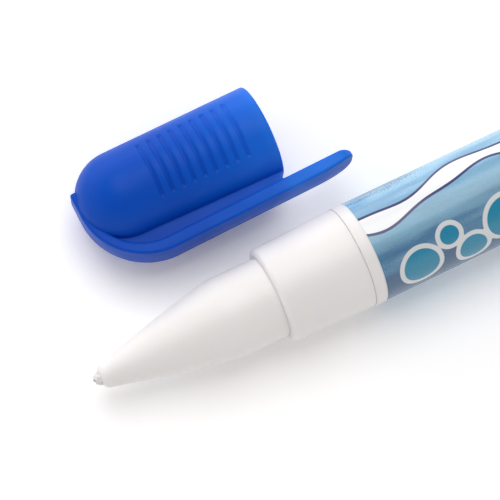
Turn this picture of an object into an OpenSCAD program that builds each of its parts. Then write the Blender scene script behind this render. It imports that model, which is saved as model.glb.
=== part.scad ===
// Squeeze-barrel correction pen with a sprung needle valve, its cap lying beside it.
// Every length is in millimetres and every angle in degrees.
// The pen lies along X with its tip towards -X; the cap lies on the +Y side, mouth towards +X.
// The origin is the middle of the whole part's box, on the surface that it lies on.

/* [Barrel] */
// Diameter over the two end rings of the barrel
barrel_d = 15; // [13:0.1:18]
// Wall of the squeeze barrel
barrel_wall = 1.1; // [0.7:0.1:1.6]
// Width of the white ring in front of the label
front_ring_w = 1.7; // [1:0.1:4]
// Length of the label panel
label_l = 78; // [55:1:110]
// Depth of the label panel below the rings
panel_depth = 0.1; // [0.08:0.01:0.3]
// Gap at each end of the label
label_gap = 0.1; // [0.05:0.05:0.5]
// Thickness of the wrapped label
label_t = 0.08; // [0.04:0.01:0.25]
// Width of the ring behind the label
rear_ring_w = 3.8; // [2.5:0.1:8]
// Thickness of the barrel's base
base_t = 1.5; // [1:0.1:3]
// Width of the flat foot around the base
foot_w = 1.7; // [1:0.1:3]
// Depth of the hollow inside the foot
foot_recess = 0.6; // [0.2:0.1:0.9]
// Radius of the edge between barrel and base
base_round = 1; // [0.4:0.1:2]

/* [Neck] */
// Step from the front ring down to the neck that the collar snaps over
neck_step = 1.35; // [1.25:0.05:1.55]
// Wall of the neck
neck_wall = 1.2; // [0.9:0.1:1.6]
// Height of the snap bead on the neck
bead_h = 0.25; // [0.15:0.05:0.3]
// Width of the snap bead along the pen
bead_w = 0.9; // [0.6:0.1:1.2]
// Gap that is left in front of the ring, seen as a fine dark line
shadow_gap = 0.15; // [0.1:0.05:0.4]

/* [Collar] */
// Clearance between the collar and what it slides over
collar_clear = 0.05; // [0.02:0.01:0.1]
// Small chamfer on the edges beside the fine gap
ring_chamfer = 0.12; // [0.05:0.01:0.3]
// Length of the collar
collar_l = 12.6; // [10:0.1:18]
// Step from the collar's front edge down to the land
collar_front_step = 1.15; // [1.05:0.05:1.4]
// Step from the front ring down to the collar's rear edge
collar_rear_step = 0.1; // [0:0.05:0.3]
// Thickness of the collar's front wall
collar_face_t = 1.3; // [1:0.1:2.5]
// Radius of the collar's front edge
collar_edge_r = 0.7; // [0.3:0.1:0.9]

/* [Nose] */
// Step from the neck down to the straight land that the cap slides on
land_step = 0.25; // [0.2:0.05:0.5]
// Length of the land in front of the collar
land_l = 7.3; // [4:0.1:10]
// Length of the nose in front of the collar
nose_l = 26.3; // [22:0.1:32]
// Diameter where the cone meets its rounded end
nose_end_d = 3.7; // [3.2:0.1:5]
// Radius of the nose's rounded end
nose_end_r = 1; // [0.6:0.1:1.2]
// How far the cone's side bulges from a straight line
nose_bulge = 0.2; // [0.1:0.05:0.6]
// Radius that softens the corner between land and cone
land_blend_r = 9; // [3:1:14]
// Thickness of the flange that the collar clamps
flange_t = 1.2; // [0.8:0.1:2]
// Length of the spigot that plugs the neck
spigot_l = 4.5; // [3:0.1:6]
// Thickness of the gasket on the neck's rim
gasket_t = 0.6; // [0.4:0.1:1]

/* [Metal tip] */
// Outer diameter of the nozzle that touches the paper
nozzle_d = 1.1; // [0.9:0.05:1.4]
// How far the nozzle stands out of the nose
nozzle_out = 0.85; // [0.5:0.05:1.5]
// Wall of the nozzle
nozzle_wall = 0.18; // [0.12:0.01:0.25]
// Outer diameter of the tip's body inside the nose
tip_body_d = 2.3; // [1.9:0.1:2.4]
// Length of the tip's body
tip_body_l = 7; // [5:0.5:10]
// Bore of the tip's body
tip_bore_d = 1.5; // [1.3:0.05:1.6]
// How far back the tip's body starts from the nose's end
tip_setback = 2; // [1.5:0.1:3]
// Chamfer on the nozzle's end
nozzle_edge = 0.1; // [0.05:0.01:0.15]
// Distance from the body's front to the valve seat
seat_setback = 0.5; // [0.2:0.1:1]
// Length of the seat's cone per unit of radius
seat_slope = 1.6; // [1:0.1:2.5]
// Diameter of the channel behind the tip's body
channel_d = 2; // [1.6:0.1:2.2]

/* [Valve] */
// Diameter of the valve pin
pin_d = 1; // [0.8:0.05:1.1]
// How far the pin stands out of the nozzle at rest
pin_out = 0.2; // [0.1:0.05:0.35]
// Running clearance round the pin's point
pin_clear = 0.05; // [0.03:0.01:0.08]
// Gap between pieces that only touch under load
seat_gap = 0.03; // [0.02:0.01:0.05]
// Diameter of the plunger over its guide fins
plunger_d = 6; // [5:0.1:6.2]
// Diameter of the plunger's hub
hub_d = 2.2; // [1.8:0.1:2.4]
// Thickness of each guide fin
fin_t = 0.7; // [0.5:0.05:1]
// Number of guide fins
fin_count = 4; // [3:1:6]
// Length of the plunger
plunger_l = 3; // [2:0.1:4]
// Room in front of the plunger
plunger_room = 1; // [0.5:0.1:2]
// Length of the boss that centres the spring on the plunger
boss_l = 0.8; // [0.4:0.1:1.5]
// Clearance between the guide fins and their chamber
plunger_clear = 0.08; // [0.04:0.01:0.1]
// Wire of the valve spring
spring_wire_d = 0.36; // [0.25:0.01:0.45]
// Mean diameter of the valve spring
spring_d = 2.6; // [2.2:0.1:2.9]
// Length of the valve spring as fitted
spring_l = 7; // [5:0.5:9]
// Clearance inside the spring
spring_clear = 0.12; // [0.08:0.01:0.2]
// Pitch of the closed end turns, in wire diameters
end_pitch = 1.1; // [1.05:0.05:1.5]
// Number of turns in the valve spring
spring_turns = 7; // [4:1:9]
// Diameter of the valve plug
plug_d = 7.2; // [6.8:0.1:8]
// Length of the valve plug
plug_l = 3.2; // [2:0.1:3.8]
// How far the plug lies inside the spigot
plug_setback = 0.5; // [0.2:0.1:1]
// Diameter of each flow hole in the plug
flow_hole_d = 0.9; // [0.6:0.1:1]
// Number of flow holes
flow_holes = 4; // [3:1:6]
// Length of the stem that guides the spring
stem_l = 2.6; // [1.5:0.1:4]

/* [Mixing ball] */
// Diameter of the steel mixing ball
ball_d = 5.5; // [4:0.1:7]
// Gap between the ball and the barrel's bore
ball_gap = 0.05; // [0.02:0.01:0.2]
// How far the ball lies behind the front ring
ball_at = 24; // [12:1:40]

/* [Cap] */
// Wall of the cap's tube at its mouth
cap_wall = 1; // [0.9:0.05:1.3]
// How much smaller the tube's radius is at the dome than at the mouth
cap_draft = 0.3; // [0:0.05:0.4]
// Clearance between the cap's bore and the land
cap_fit = 0.1; // [0.05:0.05:0.2]
// Room in front of the tip inside the closed cap
tip_room = 0.25; // [0.1:0.05:3]
// Wall of the cap's dome
dome_wall = 1; // [0.8:0.1:1.4]
// Radius of the cap's outer mouth edge
mouth_round = 0.35; // [0.1:0.05:0.5]
// Outer diameter of the soft tip seal
seal_d = 6.4; // [5.6:0.1:7]
// Length of the soft tip seal
seal_l = 3; // [2:0.1:4]
// Gap that the seal leaves round the nose
seal_gap = 0.1; // [0.05:0.05:0.3]
// Wall of the socket that holds the seal
socket_wall = 0.9; // [0.6:0.1:1.2]

/* [Clip] */
// Width of the clip
clip_w = 5; // [4.4:0.1:6]
// Width of the clip where it starts at the dome
clip_root_w = 4; // [3:0.1:4]
// Thickness of the clip's leaf
clip_t = 1.8; // [1.4:0.1:2]
// Thickness of the clip where it starts at the dome
clip_root_t = 1.4; // [1:0.1:1.4]
// How far the clip's outer face stands off the cap's side at its bend
clip_bend_rise = 3.6; // [3.2:0.05:3.9]
// How far the clip's outer face stands off the cap's side at its free end
clip_end_rise = 2.85; // [2.5:0.05:3.1]
// Outer radius of the clip's bend
clip_bend_r = 10; // [8:0.1:10]
// How far the clip's start reaches past the dome's middle
clip_lip = 3; // [2:0.1:4]
// How far the clip reaches past the mouth
clip_over = 10.6; // [6:0.1:14]
// Radius of the corners at the clip's free end
clip_corner_r = 1.8; // [0.5:0.1:2.2]
// Length over which the clip's free end thins down
clip_tip_l = 5.8; // [4:0.1:8]
// Thickness of the clip at its very end
clip_tip_t = 0.3; // [0.2:0.1:0.8]
// Width of the web that joins the clip to the cap's side
web_w = 3.6; // [3:0.1:4.2]
// Distance from the mouth to where the web ends
web_at = 5.5; // [4:0.1:12]

/* [Grip grooves] */
// Number of grooves on each side
groove_count = 9; // [4:1:10]
// Distance from one groove to the next
groove_pitch = 1.65; // [1.3:0.01:1.8]
// Width of a groove
groove_w = 0.9; // [0.4:0.05:1.1]
// Depth of a groove
groove_depth = 0.3; // [0.1:0.05:0.4]
// Distance from the mouth to the middle of the first groove
groove_start = 4.2; // [3:0.1:5]
// Angle from the clip to where the grooves start
groove_from = 52; // [40:1:60]
// Angle that each groove covers
groove_sweep = 76; // [40:1:80]

/* [Lying beside the pen] */
// Sideways distance from the pen's axis to the cap's axis
cap_aside = 21.7; // [20:0.1:60]
// How far the cap's mouth lies behind the collar's front
cap_mouth_at = 9.3; // [-20:0.1:60]
// Angle that the clip points above level
clip_up = 8; // [0:1:30]

/* [Hidden] */
$fn = 96;
// Facets of the two long arcs, so that a preview stays within a few microns of them
ARC_FN = 2000;
// How far a cut runs past the face that it opens
CUT = 0.5;

// Radii
barrel_r = barrel_d / 2;
panel_r = barrel_r - panel_depth;
bore_r = panel_r - barrel_wall;
neck_r = barrel_r - neck_step;
neck_bore_r = neck_r - neck_wall;
land_r = neck_r - land_step;
nozzle_r = nozzle_d / 2;
nozzle_bore_r = nozzle_r - nozzle_wall;
tip_body_r = tip_body_d / 2;
tip_bore_r = tip_bore_d / 2;
pin_r = pin_d / 2;
pin_point_r = nozzle_bore_r - pin_clear;
plunger_r = plunger_d / 2;
chamber_r = plunger_r + plunger_clear;
plug_r = plug_d / 2;
ball_r = ball_d / 2;
cap_bore_r = land_r + cap_fit;
cap_r = cap_bore_r + cap_wall;
seal_r = seal_d / 2;
spring_r = spring_d / 2;
wire_r = spring_wire_d / 2;
stem_r = spring_r - wire_r - spring_clear;
channel_r = channel_d / 2;

// Stations along the pen from the collar's front, positive towards the rear
gasket_at = collar_face_t + flange_t;
neck_at = gasket_at + gasket_t;
ring_at = collar_l + shadow_gap;
panel_at = ring_at + front_ring_w;
rear_ring_at = panel_at + label_l;
base_at = rear_ring_at + rear_ring_w;
floor_at = base_at - foot_recess - base_t;
bead_at = ring_at - 3 * bead_w;
spigot_end_at = gasket_at + spigot_l;
plug_end_at = spigot_end_at - plug_setback;
plug_at = plug_end_at - plug_l;
spring_at = plug_at - spring_l;
plunger_at = spring_at - plunger_l;
chamber_at = plunger_at - plunger_room;
nose_end_at = -nose_l;
cone_end_at = nose_end_r - nose_l;
nozzle_end_at = nose_end_at - nozzle_out;
tip_body_at = nose_end_at + tip_setback;
tip_rear_at = tip_body_at + tip_body_l;
pin_end_at = nozzle_end_at - pin_out;

// Collar: it snaps over the bead and clamps the nose's flange
collar_bore_r = neck_r + bead_h + collar_clear;
collar_hole_r = land_r + collar_clear;
flange_r = collar_bore_r - collar_clear;
snap_at = bead_at + bead_w / 2 + collar_clear;

// The cone's side is one arc from the land to the rounded end, blended into the land
cone_small_r = nose_end_d / 2;
chord = [cone_small_r - land_r, cone_end_at + land_l];
chord_l = norm(chord);
side_r = (chord_l * chord_l / 4 + nose_bulge * nose_bulge) / (2 * nose_bulge);
side_centre = [(land_r + cone_small_r) / 2, (cone_end_at - land_l) / 2]
    + [chord[1], -chord[0]] * (side_r - nose_bulge) / chord_l;
blend_x = land_r - land_blend_r;
blend_centre = [
    blend_x,
    side_centre[1] - sqrt(pow(side_r - land_blend_r, 2) - pow(blend_x - side_centre[0], 2))
];
blend_end = side_centre + (blend_centre - side_centre) * side_r / (side_r - land_blend_r);

// Valve seat: the pin's shoulder and the tip's seat are cones of one slope
seat_at = tip_body_at + seat_setback;
seat_l = (tip_bore_r - nozzle_bore_r) * seat_slope;
shoulder_at = seat_at + seat_gap + pin_clear * seat_slope;
shoulder_l = (pin_r - pin_point_r) * seat_slope;

// Cap, in its own frame: z from the mouth towards the dome, x from the axis towards the clip
cap_l = nose_l + nozzle_out + pin_out + tip_room + dome_wall;
dome_r = cap_r - cap_draft;
dome_at = cap_l - dome_r;
dome_bore_r = cap_bore_r - cap_draft;
dome_bore_at = cap_l - dome_wall - dome_bore_r;
seal_end_at = -cone_end_at;
seal_at = seal_end_at - seal_l;
well_r = cone_small_r + seal_gap;
bend_at = cap_l - clip_bend_r;
clip_bend_out = cap_r + clip_bend_rise;
bend_x = clip_bend_out - clip_bend_r;
clip_run = bend_at + clip_over;
clip_lean = atan((clip_bend_rise - clip_end_rise) / clip_run);
clip_thinning = clip_t - clip_root_t;
tip_drop = clip_t - clip_tip_t;
tip_curve_r = (clip_tip_l * clip_tip_l + tip_drop * tip_drop) / (2 * tip_drop);
x_mid = (pin_end_at + base_at) / 2;
y_mid = (cap_aside + cap_r - barrel_r) / 2;

// From the pen's own frame, z along its axis, to the part's
module place_pen() {
    translate([-x_mid, -y_mid, barrel_r]) rotate([0, 90, 0]) children();
}

// From the cap's own frame to the part's
module place_cap() {
    translate([cap_mouth_at - x_mid, cap_aside - y_mid, cap_r])
        rotate([90 - clip_up, 0, 0])
        rotate([0, -90, 0])
        children();
}

// A rectangle of a turned profile: radii r0 to r1, stations z0 to z1
module band(r0, r1, z0, z1) {
    translate([r0, z0]) square([r1 - r0, z1 - z0]);
}

// A straight taper of a turned profile, solid to the axis
module taper(r0, z0, r1, z1) {
    polygon([[0, z0], [r0, z0], [r1, z1], [0, z1]]);
}

// One squeezable moulding: neck with a snap bead, front ring, label panel and footed base
module bottle_outline() {
    band(0, neck_r, neck_at, ring_at);
    polygon([
        [neck_r, bead_at - bead_w / 2], [neck_r + bead_h, bead_at - bead_w / 6],
        [neck_r + bead_h, bead_at + bead_w / 6], [neck_r, bead_at + bead_w / 2]
    ]);
    taper(barrel_r - ring_chamfer, ring_at, barrel_r, ring_at + ring_chamfer);
    band(0, barrel_r, ring_at + ring_chamfer, panel_at);
    band(0, panel_r, panel_at, rear_ring_at);
    band(0, barrel_r, rear_ring_at, base_at - base_round);
    band(0, barrel_r - base_round, base_at - base_round, base_at);
    translate([barrel_r - base_round, base_at - base_round]) circle(base_round);
}

module bottle_hollow() {
    widening = bore_r - neck_bore_r;
    band(0, neck_bore_r, neck_at - CUT, ring_at);
    taper(neck_bore_r, ring_at, bore_r, ring_at + widening);
    band(0, bore_r, ring_at + widening, floor_at);
    band(0, barrel_r - base_round - foot_w, base_at - foot_recess, base_at + CUT);
}

module bottle() {
    color("white") place_pen() rotate_extrude() difference() {
        bottle_outline();
        bottle_hollow();
    }
}

// Printed film wrapped round the panel
module label_sleeve() {
    color([0.36, 0.62, 0.76]) place_pen() rotate_extrude()
        band(panel_r, panel_r + label_t, panel_at + label_gap, rear_ring_at - label_gap);
}

// Tapered ring with a rounded front edge, over the flange of the nose and the neck
module front_collar() {
    front_r = land_r + collar_front_step;
    rear_r = barrel_r - collar_rear_step;
    color("white") place_pen() rotate_extrude() difference() {
        union() {
            band(0, front_r - collar_edge_r, 0, collar_edge_r);
            translate([front_r - collar_edge_r, collar_edge_r]) circle(collar_edge_r);
            taper(front_r, collar_edge_r, rear_r, collar_l - ring_chamfer);
            taper(rear_r, collar_l - ring_chamfer, rear_r - ring_chamfer, collar_l);
        }
        band(0, collar_hole_r, -CUT, collar_face_t);
        band(0, collar_bore_r, collar_face_t, snap_at);
        band(0, neck_r + collar_clear, snap_at, collar_l + CUT);
    }
}

// Outside of the nose: rounded end, bulged cone, blend, land, clamped flange and plug spigot
module nose_outline() {
    end_r = cone_small_r - nose_end_r;
    band(0, end_r, nose_end_at, cone_end_at);
    intersection() {
        translate([end_r, cone_end_at]) circle(nose_end_r);
        band(0, cone_small_r, nose_end_at, cone_end_at);
    }
    intersection() {
        translate(side_centre) circle(side_r, $fn = ARC_FN);
        band(0, land_r, cone_end_at, blend_end[1]);
    }
    intersection() {
        translate(blend_centre) circle(land_blend_r, $fn = ARC_FN);
        band(0, land_r, blend_end[1], blend_centre[1]);
    }
    band(0, land_r, blend_centre[1], collar_face_t);
    band(0, flange_r, collar_face_t, gasket_at);
    band(0, neck_bore_r, gasket_at, spigot_end_at);
}

// Inside of the nose, from its end: seats of the metal tip, channel, chamber, seat of the plug
module nose_hollow() {
    throat_at = chamber_at - (chamber_r - channel_r);
    band(0, nozzle_r, nose_end_at - CUT, tip_body_at);
    band(0, tip_body_r, tip_body_at, tip_rear_at);
    band(0, channel_r, tip_rear_at, throat_at);
    taper(channel_r, throat_at, chamber_r, chamber_at);
    band(0, chamber_r, chamber_at, plug_at);
    band(0, plug_r, plug_at, spigot_end_at + CUT);
}

module nose_cone() {
    color("white") place_pen() rotate_extrude() difference() {
        nose_outline();
        nose_hollow();
    }
}

// Soft ring between the flange of the nose and the neck's rim
module neck_gasket() {
    color([0.85, 0.86, 0.84]) place_pen() rotate_extrude()
        band(neck_bore_r, neck_r, gasket_at, neck_at);
}

// Plated tip pressed into the nose: fine nozzle, body, and a conical seat for the pin
module metal_tip() {
    color([0.78, 0.78, 0.76]) place_pen() rotate_extrude() difference() {
        union() {
            taper(nozzle_r - nozzle_edge, nozzle_end_at, nozzle_r, nozzle_end_at + nozzle_edge);
            band(0, nozzle_r, nozzle_end_at + nozzle_edge, tip_body_at);
            band(0, tip_body_r, tip_body_at, tip_rear_at);
        }
        band(0, nozzle_bore_r, nozzle_end_at - CUT, seat_at);
        taper(nozzle_bore_r, seat_at, tip_bore_r, seat_at + seat_l);
        band(0, tip_bore_r, seat_at + seat_l, tip_rear_at + CUT);
    }
}

// Perforated plug that carries the spring on its stem and lets fluid past
module valve_plug() {
    color([0.93, 0.93, 0.9]) place_pen() difference() {
        union() {
            translate([0, 0, plug_at]) cylinder(r = plug_r, h = plug_l);
            translate([0, 0, plug_at - stem_l]) cylinder(r = stem_r, h = stem_l);
        }
        for (i = [0 : flow_holes - 1])
            rotate([0, 0, i * 360 / flow_holes])
                translate([(spring_r + wire_r + plug_r) / 2, 0, plug_at - CUT])
                cylinder(d = flow_hole_d, h = plug_l + 2 * CUT, $fn = 32);
    }
}

// Steel pin: rounded point, conical shoulder that seals, and a rod into the plunger
module valve_pin() {
    color([0.7, 0.71, 0.73]) place_pen() rotate_extrude() {
        intersection() {
            translate([0, pin_end_at + pin_point_r]) circle(pin_point_r);
            band(0, pin_point_r, pin_end_at, pin_end_at + pin_point_r);
        }
        band(0, pin_point_r, pin_end_at + pin_point_r, shoulder_at);
        taper(pin_point_r, shoulder_at, pin_r, shoulder_at + shoulder_l);
        band(0, pin_r, shoulder_at + shoulder_l, spring_at);
    }
}

// Hub pressed on the pin, with fins that guide it and leave room for fluid
module plunger() {
    color([0.88, 0.88, 0.86]) place_pen() difference() {
        union() {
            translate([0, 0, plunger_at]) cylinder(d = hub_d, h = plunger_l);
            translate([0, 0, spring_at]) cylinder(r = stem_r, h = boss_l);
            intersection() {
                translate([0, 0, plunger_at]) cylinder(r = plunger_r, h = plunger_l);
                for (i = [0 : fin_count - 1])
                    rotate([0, 0, i * 360 / fin_count])
                        translate([0, -fin_t / 2, plunger_at])
                        cube([plunger_r, fin_t, plunger_l]);
            }
        }
        translate([0, 0, plunger_at - CUT]) cylinder(r = pin_r, h = plunger_l + CUT);
    }
}

// Centre line of the spring: a closed turn at each end and an even pitch between
COIL_STEPS = 16;
WIRE_SIDES = 8;
coil_first = spring_at + wire_r + seat_gap;
coil_last = plug_at - wire_r - seat_gap;
coil_rise = coil_last - coil_first - 2 * spring_wire_d * end_pitch;
function coil_height(t) =
    t < 1 ? t * spring_wire_d * end_pitch
    : t > spring_turns - 1 ? coil_last - coil_first - (spring_turns - t) * spring_wire_d * end_pitch
    : spring_wire_d * end_pitch + (t - 1) * coil_rise / (spring_turns - 2);
function coil_ring(t) = [
    for (k = [0 : WIRE_SIDES - 1])
        let (a = k * 360 / WIRE_SIDES, r = spring_r + wire_r * cos(a))
        [r * cos(t * 360), r * sin(t * 360), coil_first + coil_height(t) + wire_r * sin(a)]
];

module valve_spring() {
    rings = spring_turns * COIL_STEPS;
    points = [for (i = [0 : rings]) each coil_ring(i / COIL_STEPS)];
    sides = [
        for (i = [0 : rings - 1], k = [0 : WIRE_SIDES - 1])
            let (n = (k + 1) % WIRE_SIDES, a = i * WIRE_SIDES, b = a + WIRE_SIDES)
            [a + k, b + k, b + n, a + n]
    ];
    first = [for (k = [0 : WIRE_SIDES - 1]) k];
    last = [for (k = [WIRE_SIDES - 1 : -1 : 0]) rings * WIRE_SIDES + k];
    color([0.72, 0.73, 0.75]) place_pen() polyhedron(points, concat([first, last], sides));
}

// Loose steel ball that stirs the fluid when the pen is shaken
module mixing_ball() {
    color([0.6, 0.61, 0.63])
        place_pen()
        translate([bore_r - ball_r - ball_gap, 0, panel_at + ball_at])
        sphere(ball_r);
}

// The space inside the bend: the strap is a little thinner over the dome than down its length.
module bend_inside() {
    inner_r = clip_bend_r - clip_t;
    circle(inner_r, $fn = ARC_FN);
    square([inner_r, clip_thinning]);
    translate([0, clip_thinning]) circle(inner_r, $fn = ARC_FN);
}

// Everything within the strap's outer face, about the bend's centre.
module strap_outside() {
    circle(clip_bend_r, $fn = ARC_FN);
    rotate(-clip_lean) {
        translate([0, clip_tip_l - clip_run]) square([clip_bend_r, clip_run - clip_tip_l]);
        clip_tip();
    }
}

// The end of the strap, thinned by its outer face curving in.
module clip_tip() {
    intersection() {
        translate([0, -clip_run]) square([clip_bend_r + CUT, clip_tip_l]);
        translate([clip_bend_r - tip_curve_r, clip_tip_l - clip_run])
            circle(tip_curve_r, $fn = ARC_FN);
    }
}

// Everything within the strap's inner face, about the bend's centre.
module strap_inside() {
    bend_inside();
    rotate(-clip_lean) translate([-clip_lip, -clip_run - CUT])
        square([clip_lip + clip_bend_r - clip_t, clip_run + CUT]);
}

// The strap from the side: a short bar on the dome, the bend, and the long leaf down to the tip.
module clip_side() {
    translate([-clip_lip, cap_l - clip_root_t]) square([clip_lip + bend_x, clip_root_t]);
    translate([bend_x, bend_at]) intersection() {
        translate([0, -2 * clip_run]) square([2 * clip_bend_r, 2 * clip_run + 2 * clip_bend_r]);
        difference() {
            strap_outside();
            strap_inside();
        }
    }
}

// Side view of the web, which fills the space between the clip and the cap's side
module web_side() {
    depth = clip_bend_out - clip_t / 2;
    slope = tan(clip_lean);
    intersection() {
        translate([bend_x, bend_at]) circle(clip_bend_r - clip_root_t / 2, $fn = ARC_FN);
        translate([0, bend_at]) square(clip_bend_out);
    }
    polygon([
        [0, web_at], [depth - (bend_at - web_at) * slope, web_at],
        [depth + CUT * slope, bend_at + CUT], [0, bend_at + CUT]
    ]);
}

// Front view of the clip: rounded free end, even width, narrower over the dome
module clip_front() {
    half = clip_w / 2;
    end_z = -clip_over;
    corner = half - clip_corner_r;
    polygon([
        [-half, end_z + clip_corner_r], [half, end_z + clip_corner_r], [half, bend_at],
        [clip_root_w / 2, cap_l], [-clip_root_w / 2, cap_l], [-half, bend_at]
    ]);
    translate([-corner, end_z - CUT]) square([2 * corner, clip_corner_r + 2 * CUT]);
    for (side = [-1, 1]) translate([side * corner, end_z + clip_corner_r]) circle(clip_corner_r);
}

module clip() {
    reach = clip_bend_out + clip_lip + 2 * CUT;
    intersection() {
        rotate([90, 0, 0]) linear_extrude(height = clip_w + 2 * CUT, center = true) clip_side();
        translate([-clip_lip - CUT, 0, 0]) rotate([90, 0, 90]) linear_extrude(height = reach)
            clip_front();
    }
    rotate([90, 0, 0]) linear_extrude(height = web_w, center = true) web_side();
}

module cap_outline() {
    band(0, cap_r - mouth_round, 0, mouth_round);
    translate([cap_r - mouth_round, mouth_round]) circle(mouth_round);
    taper(cap_r, mouth_round, dome_r, dome_at);
    intersection() {
        translate([0, dome_at]) circle(dome_r, $fn = ARC_FN);
        band(0, dome_r, dome_at, cap_l);
    }
}

// Inside of the cap: bore over the land, draft, dome, and a socket that leaves room for the tip
module cap_hollow() {
    socket_r = seal_r + socket_wall;
    difference() {
        union() {
            band(0, cap_bore_r, -CUT, land_l);
            taper(cap_bore_r, land_l, dome_bore_r, dome_bore_at);
            intersection() {
                translate([0, dome_bore_at]) circle(dome_bore_r, $fn = ARC_FN);
                band(0, dome_bore_r, dome_bore_at, dome_bore_at + dome_bore_r);
            }
        }
        band(0, socket_r, seal_at, cap_l);
    }
    band(0, seal_r, seal_at - CUT, seal_end_at);
    band(0, well_r, seal_end_at - CUT, cap_l - dome_wall);
}

// Radius of the cap's side at a distance from the mouth
function cap_side_r(z) = cap_r - cap_draft * (z - mouth_round) / (dome_at - mouth_round);

module grip_grooves() {
    for (i = [0 : groove_count - 1], start = [groove_from, -groove_from - groove_sweep]) {
        middle = groove_start + i * groove_pitch;
        rotate([0, 0, start])
            rotate_extrude(angle = groove_sweep)
            translate([cap_side_r(middle) - groove_depth, middle - groove_w / 2])
            square([groove_depth + CUT, groove_w]);
    }
}

// One moulding: domed tube, wrap-round clip and finger grooves on both sides
module cap() {
    color([0.08, 0.29, 0.76]) place_cap() difference() {
        union() {
            rotate_extrude() cap_outline();
            clip();
        }
        rotate_extrude() cap_hollow();
        grip_grooves();
    }
}

// Soft ring in the cap's socket that closes round the end of the nose
module tip_seal() {
    wide_r = nose_r_at(-seal_at) + seal_gap;
    color([0.9, 0.9, 0.88]) place_cap() rotate_extrude() difference() {
        band(0, seal_r, seal_at, seal_end_at);
        taper(wide_r, seal_at, well_r, seal_end_at);
    }
}

// Radius of the cone's side at a station in front of the collar
function nose_r_at(z) = side_centre[0] + sqrt(side_r * side_r - pow(z - side_centre[1], 2));

bottle();
label_sleeve();
front_collar();
nose_cone();
neck_gasket();
metal_tip();
valve_plug();
valve_pin();
plunger();
valve_spring();
mixing_ball();
cap();
tip_seal();
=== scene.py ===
import math

import bmesh
import bpy
from mathutils import Matrix, Vector, noise

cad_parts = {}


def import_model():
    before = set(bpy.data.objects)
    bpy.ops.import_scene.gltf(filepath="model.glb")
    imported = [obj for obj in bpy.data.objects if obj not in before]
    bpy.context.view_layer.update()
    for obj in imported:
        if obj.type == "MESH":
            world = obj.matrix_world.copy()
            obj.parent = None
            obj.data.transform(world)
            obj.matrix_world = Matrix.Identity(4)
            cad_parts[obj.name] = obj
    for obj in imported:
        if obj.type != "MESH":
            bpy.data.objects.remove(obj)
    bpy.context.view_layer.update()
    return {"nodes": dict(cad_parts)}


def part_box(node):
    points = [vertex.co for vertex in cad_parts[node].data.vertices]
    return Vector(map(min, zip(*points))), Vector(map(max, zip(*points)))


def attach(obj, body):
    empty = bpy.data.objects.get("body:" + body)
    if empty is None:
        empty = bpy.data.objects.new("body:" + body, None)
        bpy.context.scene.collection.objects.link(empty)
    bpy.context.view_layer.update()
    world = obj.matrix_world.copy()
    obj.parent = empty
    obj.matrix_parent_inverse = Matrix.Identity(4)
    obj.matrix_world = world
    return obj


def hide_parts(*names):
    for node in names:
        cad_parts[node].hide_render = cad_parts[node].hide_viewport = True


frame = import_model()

MM = 0.001

# Sizes shared with the CAD source: the barrel and its label
BARREL_R = 7.5
PANEL_R = 7.4
LABEL_T = 0.08
BORE_R = 6.3
NECK_R = 6.15
NECK_BORE_R = 4.95
NECK_AT = 3.1
BEAD_H = 0.25
BEAD_W = 0.9
BEAD_CREST_W = 0.3
BEAD_BACK = 2.7
RING_AT = 12.75
FRONT_RING_W = 1.7
REAR_RING_W = 3.8
BASE_T = 1.5
BASE_ROUND = 1.0
FOOT_W = 1.7
FOOT_RECESS = 0.6

# The collar and the nose, with the seats inside them
COLLAR_FRONT_STEP = 1.15
COLLAR_REAR_STEP = 0.1
COLLAR_FACE_T = 1.3
COLLAR_EDGE_R = 0.7
COLLAR_BORE_R = 6.45
COLLAR_CLEAR = 0.05
SNAP_AT = 10.5
LAND_R = 5.9
LAND_L = 7.3
NOSE_L = 26.3
NOSE_END_R = 1.0
NOSE_SMALL_R = 1.85
NOSE_BULGE = 0.2
BLEND_R = 9.0
FLANGE_T = 1.2
SPIGOT_END_AT = 7.0
PLUG_AT = 3.3
PLUG_R = 3.6
CHAMBER_AT = -7.7
CHAMBER_R = 3.08
THROAT_AT = -9.78
CHANNEL_R = 1.0

# The plated tip
NOZZLE_R = 0.55
NOZZLE_BORE_R = 0.37
NOZZLE_OUT = 0.85
TIP_BODY_R = 1.15
TIP_BODY_AT = -24.3
TIP_REAR_AT = -17.3
TIP_BORE_R = 0.75
SEAT_AT, SEAT_END_AT = -23.8, -23.19

# The cap's tube, with its seal's socket and the well in front of the tip
CAP_R = 7.0
CAP_DRAFT = 0.3
CAP_L = 28.6
CAP_BORE_R = 6.0
DOME_WALL = 1.0
MOUTH_ROUND = 0.35
SEAL_AT = 22.3
SEAL_END = 25.3
SEAL_R = 3.2
SEAL_WIDE_R = 2.58
SOCKET_R = 4.1
WELL_R = 1.95

# The cap's clip
CLIP_OVER = 10.6
CLIP_BEND_RISE = 3.6
CLIP_END_RISE = 2.85
CLIP_BEND_R = 10.0
CLIP_W = 5.0
CLIP_ROOT_W = 4.0
CLIP_ROOT_T = 1.4
CLIP_LIP = 3.0
CLIP_CORNER_R = 1.8
CLIP_TIP_L = 5.8
CLIP_UP = 8.0

# Where the dressed piece is finer than its solid: the strap's thickness, its free end, which is
# shorter and rounded on its inner side, its rounded edges, and its lip's corners
CLIP_T = 1.95
CLIP_TIP_T = 1.3
CLIP_END_BACK = 0.9
CLIP_END_ROUND_L, CLIP_END_ROUND = 2.0, 0.5
CLIP_EDGE_R = 0.4
CLIP_LIP_R = 0.6
# The web's thickness, its start behind the mouth, its other end inside the bend, the flare along
# its foot, and how deep it runs into the tube and into the strap
WEB_W = 2.6
WEB_AT, WEB_END_AT = 0.8, 26.2
WEB_FLARE = 0.25
WEB_IN_TUBE, WEB_IN_STRAP = 0.7, 0.5
# How far ahead of the seal, towards the mouth, the well is cut clear
WELL_CLEAR = 2
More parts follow.
